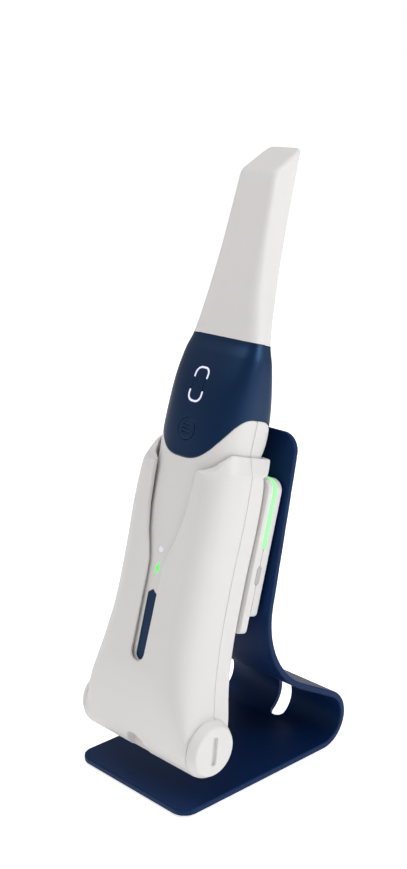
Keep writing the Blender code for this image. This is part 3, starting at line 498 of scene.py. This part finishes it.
camera_section = Section(OUTLINE)
cradle_section = Section(CRADLE)
pocket_section = Section(POCKET)
tip_front = float(read_table(OUTLINE, np.array(TIP_FRONT_TOP), 2))


def seam_height(p):
    drop = np.where(p[1] < 0, FRONT_DROP, REAR_DROP)
    return SIDE_SEAM - drop * camera_section.facing(p)


def button_place(p, button):
    """Coordinates on a tilted button: across, out of the surface (negative), and up."""
    y, z = p[1] - button["depth"], p[2] - button["height"]
    c, s = math.cos(button["tilt"]), math.sin(button["tilt"])
    return p[0], c * y - s * z, s * y + c * z


def tip_field(p):
    outer = camera_section(p)
    top = (p[2] - TIP_FRONT_TOP - TIP_SLOPE * (p[1] + tip_front)) / math.hypot(1, TIP_SLOPE)
    shell = both(both(outer, top, TIP_END_ROUND), TIP_GAP - p[2], SEAM_ROUND)
    hollow = both(outer + TIP_WALL, top + TIP_WALL, 1.0)
    window = both(rounded_box(p[0], p[2] - WINDOW_HEIGHT, *WINDOW_HALF, 2), 2 - p[1])
    return minus(minus(shell, hollow, 0.2), window, 0.4)


def scan_outline(x, z, grow):
    return rounded_box(x, z, SCAN_HALF[0] + grow, SCAN_HALF[1] + grow, SCAN_CORNER + grow)


def ring_region(p, grow=0.0):
    x, _y, z = button_place(p, SCAN)
    outer = scan_outline(x, z, RING_OUTER)
    inner = scan_outline(x, z, RING_INNER)
    band = both(outer - grow, -inner - grow, 0.15)
    return both(band, RING_OPENING - grow - np.abs(z), 0.25)


def collar_low(p):
    """The collar's wavy lower edge, as a distance below it."""
    return (seam_height(p) + SEAM_GAP / 2 - p[2]) / SEAM_TILT


def handle_high(p):
    """The handle's wavy upper edge, as a distance above it."""
    return (p[2] - seam_height(p) + SEAM_GAP / 2) / SEAM_TILT


def dock_height(level):
    """Field of a flat cut across the dock frame."""
    return lambda p: p[2] - level


def dock_depth(level):
    """Field of a flat cut along the dock frame, parallel to the buttons' side."""
    return lambda p: p[1] - level


def collar_field(p):
    outer = camera_section(p)
    low = collar_low(p)
    shell = both(both(outer, p[2], SEAM_ROUND), low, SEAM_ROUND)
    shell = both(shell, -(outer + WALL), 0.2)
    x, y, z = button_place(p, SCAN)
    hole = either(scan_outline(x, z, 0.14), ring_region(p, 0.03))
    shell = minus(shell, both(hole, y - BUTTON_HOLE), 0.12)
    x, y, z = button_place(p, MODE)
    return minus(shell, both(np.hypot(x, z) - MODE_RADIUS - 0.2, y - BUTTON_HOLE), 0.25)


def scan_field(p):
    x, y, z = button_place(p, SCAN)
    surface = camera_section(p)
    button = both(scan_outline(x, z, 0.02), surface - BUTTON_PROUD, 0.25)
    button = both(button, y - BUTTON_DEPTH)
    square = np.abs(rounded_box(x, z, MARK_HALF, MARK_HALF, 0.6)) - MARK_LINE
    corners = both(square, MARK_GAP - np.minimum(np.abs(x), np.abs(z)))
    mark = either(corners, np.hypot(x, z) - MARK_DOT)
    return minus(button, both(mark, -(surface + MARK_DEPTH)), 0.05)


def mode_field(p):
    x, y, z = button_place(p, MODE)
    surface = camera_section(p)
    button = both(np.hypot(x, z) - MODE_RADIUS, surface - BUTTON_PROUD, 0.3)
    button = both(button, y - BUTTON_DEPTH)
    nearest = BAR_PITCH * np.round(np.clip(z / BAR_PITCH, -1, 1))
    bars = obround(z - nearest, x, *BAR_HALF)
    return minus(button, both(bars, -(surface + BARS_DEPTH)), 0.05)


def ring_field(sign):
    def field(p):
        surface = camera_section(p)
        shape = both(ring_region(p), surface - 0.04, 0.1)
        shape = both(shape, -(surface + 1.5))
        return both(shape, -sign * button_place(p, SCAN)[2])
    return field


def bolt_outline(x, z):
    """Generic lightning bolt, from two slanted halves that meet in the middle."""
    def half(u, v):
        inner = u - BOLT_LEAN * v
        wedge = both(-(inner + BOLT_WIDTH) + BOLT_TAPER * v, inner - BOLT_OVERLAP, 0.05)
        return both(both(wedge, v - BOLT_HALF_HEIGHT, 0.05), -BOLT_OVERLAP - v, 0.05)
    return either(half(x, z), half(-x, -z))


def stripe_region(p, grow=0.0):
    x = np.abs(p[0])
    sides = both(x - STRIPE_HALF, -(p[2] - STRIPE_BOTTOM), STRIPE_HALF)
    point = ((p[2] - STRIPE_TOP) * 2 + x * 1.4) / math.hypot(2, 1.4)
    return both(sides, point, 0.3) - grow


def handle_field(front):
    def field(p):
        outer = camera_section(p)
        high = handle_high(p)
        shell = both(both(outer, HANDLE_BOTTOM - p[2], 0.8), high, SEAM_ROUND)
        shell = both(shell, -(outer + WALL), 0.2)
        split = p[1] + SPLIT_GAP / 2 if front else SPLIT_GAP / 2 - p[1]
        shell = both(shell, split, 0.06)
        if front:
            lamp = np.hypot(p[0], p[2] - LAMP_HEIGHT) - LAMP_RADIUS - 0.04
            shell = minus(shell, lamp, 0.08)
            shell = minus(shell, both(stripe_region(p, 0.05), -(outer + 0.6)), 0.08)
        return shell
    return field


def stripe_field(p):
    outer = camera_section(p)
    return both(both(stripe_region(p), outer + 0.08, 0.1), -(outer + STRIPE_DEPTH))


def lamp_field(p):
    outer = camera_section(p)
    return both(both(np.hypot(p[0], p[2] - LAMP_HEIGHT) - LAMP_RADIUS, outer, 0.1), -(outer + 1.5))


def bolt_field(p):
    outer = camera_section(p)
    outline = bolt_outline(p[0], p[2] - CHARGE_HEIGHT)
    return both(both(outline, outer - 0.03, 0.03), -(outer + STRIPE_DEPTH))


def make_camera():
    piece("tip", tip_field, (-22, -12, 0), (22, 11, 92), 0.55, TIP_WHITE, "tip_sleeve",
          edges=((camera_section, dock_height(TIP_GAP)),))
    piece("collar", collar_field, (-25, -21, -57), (25, 16, 0.5), 0.42, NAVY, "collar_shell",
          edges=((camera_section, collar_low), (camera_section, dock_height(0))))
    piece("scan_key", scan_field, (-5.2, -20, -31), (5.2, -9, -13), 0.22, NAVY, "scan_button")
    piece("mode_key", mode_field, (-5.5, -21, -49), (5.5, -15, -37), 0.22, NAVY, "mode_button")
    piece("ring_upper", ring_field(1), (-6.8, -20, -24), (6.8, -10, -12), 0.25, RING_LIGHT,
          "light_ring_upper")
    piece("ring_lower", ring_field(-1), (-6.8, -21, -33), (6.8, -13, -21), 0.25, RING_LIGHT,
          "light_ring_lower")
    wave = (camera_section, handle_high)
    piece("handle_front", handle_field(True), (-24, -21, -158), (24, 0.2, -33), 0.6, WHITE,
          "handle_front_shell", edges=(wave, (camera_section, dock_depth(-SPLIT_GAP / 2))))
    piece("handle_rear", handle_field(False), (-24, -0.2, -158), (24, 16, -33), 0.6, WHITE,
          "handle_rear_shell", edges=(wave, (camera_section, dock_depth(SPLIT_GAP / 2))))
    piece("stripe", stripe_field, (-3, -21, -150.5), (3, -19, -117), 0.3, NAVY,
          "accent_stripe")
    piece("lamp", lamp_field, (-2, -21, -101), (2, -18, -97), 0.2, LAMP_LIGHT, "power_lamp")
    piece("charge_bolt", bolt_field, (-2.5, -21, -111), (2.5, -19, -104), 0.14, BOLT_LIGHT,
          "charge_lamp")


# ---------------------------------------------------------------- cradle

RIM_SIDE = -50.0
RIM_DROP = 9.8
RIM_CREASE = -57.6
CREASE_DROP = 4.4
RIM_LEAN = 0.36
# Where the rim starts to drop on its way to the front, and over what depth.
RIM_TURN = (-10.0, 12.0)
# Flat beside the opening: height and depth.
FACET = np.array(((-160, -23.6), (-148, -22.7), (-128, -22.3), (-104, -22.1), (-57, -22.0)))
POCKET_FLOOR = -153.0
SLOT_END = -146.0
NOTCH_RADIUS = 6.5
NOTCH_RISE = 2.5
NOTCH_DEPTH = -6.0
CRADLE_SEAM = -1.0
BARREL_HEIGHT = -180.6
BARREL_DEPTH = -2.3
BARREL_RADIUS = 13.6
BARREL_HALF_WIDTH = 35.4
BARREL_BLEND = 0.5
CAP_FACE = 39.9
CAP_FACE_RADIUS = 11.3
CAP_RADIUS = 13.5
CAP_BAND = 36.4
COIN_SLOT_HALF = (1.4, 6.8)
COIN_SLOT_DEPTH = 1.7
COIN_SLOT_TURN = math.radians(9)
SPIGOT_RADIUS = 8.1
SPIGOT_LENGTH = 5.8


def smooth_step(value):
    t = np.clip(value, 0, 1)
    return t * t * (3 - 2 * t)


def opening_width(z):
    return np.interp(z, OPENING[:, 0], OPENING[:, 1])


def barrel_place(p):
    return np.hypot(p[1] - BARREL_DEPTH, p[2] - BARREL_HEIGHT)


def cradle_field(front):
    """Front shell for True, rear shell for False, and both in one for None."""
    def field(p):
        x, y, z = p
        outer = cradle_section(p)
        forward = smooth_step((RIM_TURN[0] - y) / RIM_TURN[1])
        rim = RIM_SIDE - RIM_DROP * forward
        crease = RIM_CREASE - CREASE_DROP * forward
        side = np.where(y < 0, outer, np.abs(x) - cradle_section.read(z)[0])
        bevel = (side + (z - crease) * RIM_LEAN) / math.hypot(1, RIM_LEAN)
        body = both(both(outer, bevel, 0.3), z - rim, 0.4)
        body = both(body, np.interp(z, FACET[:, 0], FACET[:, 1]) - y, 0.4)
        body = both(body, CRADLE[0, 0] - z)
        barrel = both(barrel_place(p) - BARREL_RADIUS, np.abs(x) - BARREL_HALF_WIDTH, 0.25)
        body = both(either(body, barrel, BARREL_BLEND), np.abs(x) - BARREL_HALF_WIDTH, 0.25)
        pocket = both(pocket_section(p), POCKET_FLOOR - z)
        body = minus(body, pocket, 0.4)
        below = np.maximum(SLOT_END - z, 0)
        gap = np.hypot(x, below) - opening_width(np.maximum(z, SLOT_END))
        gap = np.where(y < 0, gap, FAR)
        body = both(body, -gap, 0.7)
        notch = np.hypot(x, z - BARREL_HEIGHT + BARREL_RADIUS - NOTCH_RISE) - NOTCH_RADIUS
        notch = both(notch, y - NOTCH_DEPTH)
        body = minus(body, notch, 0.8)
        if front is None:
            return body
        split = y - CRADLE_SEAM if front else CRADLE_SEAM + SPLIT_GAP - y
        return both(body, split, 0.06)
    return field


def cap_field(side):
    def field(p):
        out = side * p[0]
        radius = barrel_place(p)
        width, depth = CAP_FACE - CAP_BAND, CAP_RADIUS - CAP_FACE_RADIUS
        cone = ((out - CAP_FACE) * depth + (radius - CAP_FACE_RADIUS) * width) / math.hypot(width, depth)
        cap = both(both(radius - CAP_RADIUS, cone, 0.5), out - CAP_FACE, 0.6)
        cap = both(cap, BARREL_HALF_WIDTH + 0.06 - out, 0.12)
        y, z = p[1] - BARREL_DEPTH, p[2] - BARREL_HEIGHT
        c, s = math.cos(COIN_SLOT_TURN), math.sin(COIN_SLOT_TURN)
        slot = obround(y * c + z * s, z * c - y * s, *COIN_SLOT_HALF)
        slot = both(slot, CAP_FACE - COIN_SLOT_DEPTH - out, 0.5)
        spigot = both(radius - SPIGOT_RADIUS, BARREL_HALF_WIDTH - SPIGOT_LENGTH - out, 0.5)
        return either(minus(cap, slot, 0.45), both(spigot, out - BARREL_HALF_WIDTH - 1), 0.2)
    return field


def make_cradle():
    low, high = (-35.6, -24, -195), (35.6, -0.5, -46)
    whole = cradle_field(None)
    piece("cradle_front", cradle_field(True), low, high, 0.62, WHITE, "cradle_front_shell",
          edges=((whole, dock_depth(CRADLE_SEAM)),))
    piece("cradle_rear", cradle_field(False), (-35.6, -1.5, -195), (35.6, 16, -46), 0.62, WHITE,
          "cradle_rear_shell", edges=((whole, dock_depth(CRADLE_SEAM + SPLIT_GAP)),))
    for name, side in (("left", -1), ("right", 1)):
        ends = sorted((side * 29, side * 40.2))
        piece("cap_" + name, cap_field(side), (ends[0], -17, -195), (ends[1], 12, -166), 0.45, WHITE,
              "end_cap_" + name)


# ---------------------------------------------------------------- charger

BOX_HALF = 30.0
BOX_TOP = -58.2
BOX_BOTTOM = -130.2
COVER_BOTTOM = -122.2
BOX_FRONT = 9.6
BOX_SEAM = 14.0
BOX_REAR = 19.3
BOX_CORNER = 6.0
BOX_LOWER_CORNER = 2.0
STRIP_HALF = 1.25
STRIP_DEPTH = 1.3
STRIP_END = -89.8
SIDE_BUTTON = (-98.5, -106.8)
SIDE_BUTTON_HALF = 1.2
SIDE_BUTTON_INNER = 28.0
INLET_PLACE = 12.6
INLET_HALF = (5.0, 1.45)
INLET_TOP = -127.0


def charger_outline(p, bottom):
    middle = (BOX_TOP + bottom) / 2
    radius = np.where(p[2] > middle, BOX_CORNER, BOX_LOWER_CORNER)
    return rounded_box(p[0], p[2] - middle, BOX_HALF, (BOX_TOP - bottom) / 2, radius)


def strip_region(p, grow=0.0):
    edge = charger_outline(p, BOX_BOTTOM)
    band = both(np.abs(p[1] - BOX_SEAM) - STRIP_HALF - grow, -(edge + STRIP_DEPTH) - grow, 0.2)
    return both(band, STRIP_END - grow - p[2], 0.8)


def side_button_region(p, grow=0.0):
    middle, half = sum(SIDE_BUTTON) / 2, (SIDE_BUTTON[0] - SIDE_BUTTON[1]) / 2
    shape = obround(p[1] - BOX_SEAM, p[2] - middle, SIDE_BUTTON_HALF + grow, half + grow)
    return both(shape, SIDE_BUTTON_INNER - grow - p[0])


def charger_field(front):
    def field(p):
        y = p[1]
        edge = charger_outline(p, BOX_BOTTOM if front else COVER_BOTTOM)
        if front:
            shell = both(both(edge, BOX_FRONT - y, 0.35), y - BOX_SEAM + SPLIT_GAP / 2, 0.06)
            hollow = both(edge + WALL, BOX_FRONT + WALL - y)
        else:
            shell = both(both(edge, y - BOX_REAR, 1.6), BOX_SEAM + SPLIT_GAP / 2 - y, 0.06)
            hollow = both(edge + WALL, y - BOX_REAR + WALL)
        shell = minus(shell, hollow, 0.2)
        shell = minus(shell, strip_region(p, 0.04), 0.12)
        shell = minus(shell, side_button_region(p, 0.12), 0.15)
        if front:
            inlet = both(rounded_box(p[0], y - INLET_PLACE, *INLET_HALF, 1.2), p[2] - INLET_TOP)
            shell = minus(shell, inlet, 0.3)
        return shell
    return field


def strip_field(p):
    return both(strip_region(p), charger_outline(p, BOX_BOTTOM) - 0.05, 0.35)


def side_button_field(p):
    return both(side_button_region(p), p[0] - 29.9, 0.3)


def make_charger():
    piece("charger_front", charger_field(True), (-30, 9.5, -131), (30, 14.2, -58), 0.6, WHITE,
          "charger_front_shell")
    piece("charger_rear", charger_field(False), (-30, 13.8, -123), (30, 19.5, -58), 0.6, WHITE,
          "charger_rear_cover")
    piece("light_strip", strip_field, (-30.2, 12.5, -91), (30.2, 15.5, -58), 0.4, GREEN_LIGHT,
          "charger_light_strip")
    piece("side_button", side_button_field, (27.5, 12.5, -107.5), (30, 15.5, -98), 0.25, BUTTON_GREY,
          "charger_button")


# ---------------------------------------------------------------- stand

LIP_START = BASE_LENGTH + RETURN_RADIUS * RETURN_TURN
BEND_START = LIP_START + LIP_LENGTH
BACK_START = BEND_START + BACK_RADIUS * BEND_TURN
SHEET_END = BACK_START + BACK_LENGTH
FRONT_CORNER = 7.5
TOP_CORNER = 9.0
EDGE_ROUND = 0.6
SLOT_HALF_WIDTH = 4.3
SLOT_ENDS = (BASE_LENGTH + RETURN_RADIUS * math.radians(18), BASE_LENGTH + RETURN_RADIUS * math.radians(140))


def plate_field(p):
    """The sheet laid flat: across, along from the front edge, and through its thickness."""
    x, along, through = p
    taper = np.clip((along - LIP_START) / (SHEET_END - LIP_START), 0, 1)
    half = BASE_HALF_WIDTH + (TOP_HALF_WIDTH - BASE_HALF_WIDTH) * taper
    outline = both(np.abs(x) - half, -along, FRONT_CORNER)
    outline = both(outline, along - SHEET_END, TOP_CORNER)
    plate = both(outline, np.abs(through) - SHEET / 2, EDGE_ROUND)
    middle, reach = sum(SLOT_ENDS) / 2, (SLOT_ENDS[1] - SLOT_ENDS[0]) / 2
    return minus(plate, obround(x, along - middle, SLOT_HALF_WIDTH, reach), 0.45)


def sheet_path(step=0.2):
    """Samples along the sheet's middle: distance, place ahead, height and heading."""
    point = np.array((-HALF_DEPTH, SHEET_BOTTOM + SHEET / 2))
    heading = 0.0
    rows = [(0.0, *point, heading)]
    stretches = ((BASE_LENGTH, 0.0), (RETURN_RADIUS * RETURN_TURN, 1 / RETURN_RADIUS), (LIP_LENGTH, 0.0),
                 (BACK_RADIUS * BEND_TURN, -1 / BACK_RADIUS), (BACK_LENGTH, 0.0))
    distance = 0.0
    for length, curve in stretches:
        count = int(math.ceil(length / step))
        for _ in range(count):
            travel = length / count
            middle = heading + curve * travel / 2
            point = point + travel * np.array((math.cos(middle), math.sin(middle)))
            heading += curve * travel
            distance += travel
            rows.append((distance, *point, heading))
    return np.array(rows)


def make_plate():
    low, high = (-BASE_HALF_WIDTH, 0, -SHEET / 2), (BASE_HALF_WIDTH, SHEET_END, SHEET / 2)
    points, faces, normals = net(plate_field, low, high, 0.75)
    path = sheet_path()
    ahead, height, heading = (np.interp(points[:, 1], path[:, 0], path[:, c]) for c in (1, 2, 3))
    c, s = np.cos(heading), np.sin(heading)
    bent = np.stack((points[:, 0], ahead - points[:, 2] * s, height + points[:, 2] * c), 1)
    turned = np.stack((normals[:, 0], normals[:, 1] * c - normals[:, 2] * s,
                       normals[:, 1] * s + normals[:, 2] * c), 1)
    item = mesh_object("plate", bent, faces, turned, Matrix.Identity(4))
    settle(item, COATING, "stand_plate")


# ---------------------------------------------------------------- carried-over nodes

KEPT = {
    "feet_rubber": ("foot_front_left", "foot_front_right", "foot_rear_left", "foot_rear_right"),
    "screw_steel": ("stand_screw_upper_left", "stand_screw_upper_right", "stand_screw_lower_left",
                    "stand_screw_lower_right", "charging_inlet"),
    "contact_gold": ("contact_pin_left", "contact_pin_right"),
    "circuit_board": ("charger_board", "main_board", "switch_board"),
    "battery_wrap": ("battery_pack",),
    "inner_black": ("contact_block", "snout", "handle_end_plate", "camera_module", "projector_module"),
    "mirror_face": ("tip_mirror",),
    "lens_glass": ("front_lens",),
}
KEPT_MATERIALS = {"feet_rubber": RUBBER, "screw_steel": STEEL, "contact_gold": GOLD, "circuit_board": BOARD,
                  "battery_wrap": WRAP, "inner_black": BLACK, "mirror_face": MIRROR, "lens_glass": GLASS}


def finish_kept():
    for slot, names in KEPT.items():
        for name in names:
            item = frame["nodes"][name]
            for place in item.material_slots:
                place.material = KEPT_MATERIALS[slot]


# ---------------------------------------------------------------- stage, in metres

FLOOR_HALF = 12.0
FLOOR_DROP = 0.0001
VIEW_PLACE = (0.42449, -0.40820, 0.32591)
VIEW_AZIMUTH = math.radians(46.57)
VIEW_ELEVATION = math.radians(15.72)
VIEW_LENS = 55.57


def camera_level(tree, lighting, seen):
    """Output with one strength for lighting the object and another for the camera's own rays."""
    path = add(tree, "LightPath")
    level = add(tree, "MapRange")
    level.inputs["To Min"].default_value = lighting
    level.inputs["To Max"].default_value = seen
    tree.links.new(path.outputs["Is Camera Ray"], level.inputs["Value"])
    return level.outputs["Result"]


def make_floor():
    mesh = bpy.data.meshes.new("floor")
    corners = [(FLOOR_HALF * a, FLOOR_HALF * b, 0) for a, b in ((-1, -1), (1, -1), (1, 1), (-1, 1))]
    mesh.from_pydata(corners, [], [(0, 1, 2, 3)])
    floor = bpy.data.objects.new("floor", mesh)
    bpy.context.scene.collection.objects.link(floor)
    floor.location.z = CAD_BOX[0].z - FLOOR_DROP
    material = moulded("floor_white", (0.93, 0.93, 0.93), 0.85, grain=60.0, depth=0.0, spread=0.005)
    shader = material.node_tree.nodes["Principled BSDF"]
    shader.inputs["Emission Color"].default_value = (1, 1, 1, 1)
    tree = material.node_tree
    tree.links.new(camera_level(tree, 0.42, 0.75), shader.inputs["Emission Strength"])
    mesh.materials.append(material)


def area_light(name, place, target, size, power, colour=(1, 1, 1)):
    data = bpy.data.lights.new(name, "AREA")
    data.shape = "RECTANGLE"
    data.size, data.size_y = size
    data.energy = power
    data.color = colour
    light = bpy.data.objects.new(name, data)
    bpy.context.scene.collection.objects.link(light)
    light.location = place
    light.rotation_euler = (Vector(target) - Vector(place)).to_track_quat("-Z", "Y").to_euler()


def make_stage():
    make_floor()
    area_light("key", (0.95, 0.5, 0.75), (0, 0, 0.14), (0.5, 0.7), 6.2, (0.97, 0.985, 1.0))
    area_light("top", (-0.2, -0.4, 1.6), (0, 0, 0), (1.2, 1.2), 10)
    world = bpy.data.worlds.new("studio")
    bpy.context.scene.world = world
    world.use_nodes = True
    tree = world.node_tree
    background = tree.nodes["Background"]
    background.inputs["Color"].default_value = (1, 1, 1, 1)
    tree.links.new(camera_level(tree, 0.35, 1.0), background.inputs["Strength"])


def make_view():
    data = bpy.data.cameras.new("view")
    data.lens = VIEW_LENS
    data.sensor_width = 36.0
    data.clip_start, data.clip_end = 0.02, 40
    camera = bpy.data.objects.new("view", data)
    bpy.context.scene.collection.objects.link(camera)
    level = math.cos(VIEW_ELEVATION)
    back = Vector((math.sin(VIEW_AZIMUTH) * level, -math.cos(VIEW_AZIMUTH) * level,
                   math.sin(VIEW_ELEVATION)))
    camera.location = VIEW_PLACE
    camera.rotation_mode = "QUATERNION"
    camera.rotation_quaternion = (-back).to_track_quat("-Z", "Y")
    bpy.context.scene.camera = camera


bpy.context.scene.view_settings.view_transform = "Standard"
make_view()
make_stage()
make_camera()
make_cradle()
make_charger()
make_plate()
finish_kept()
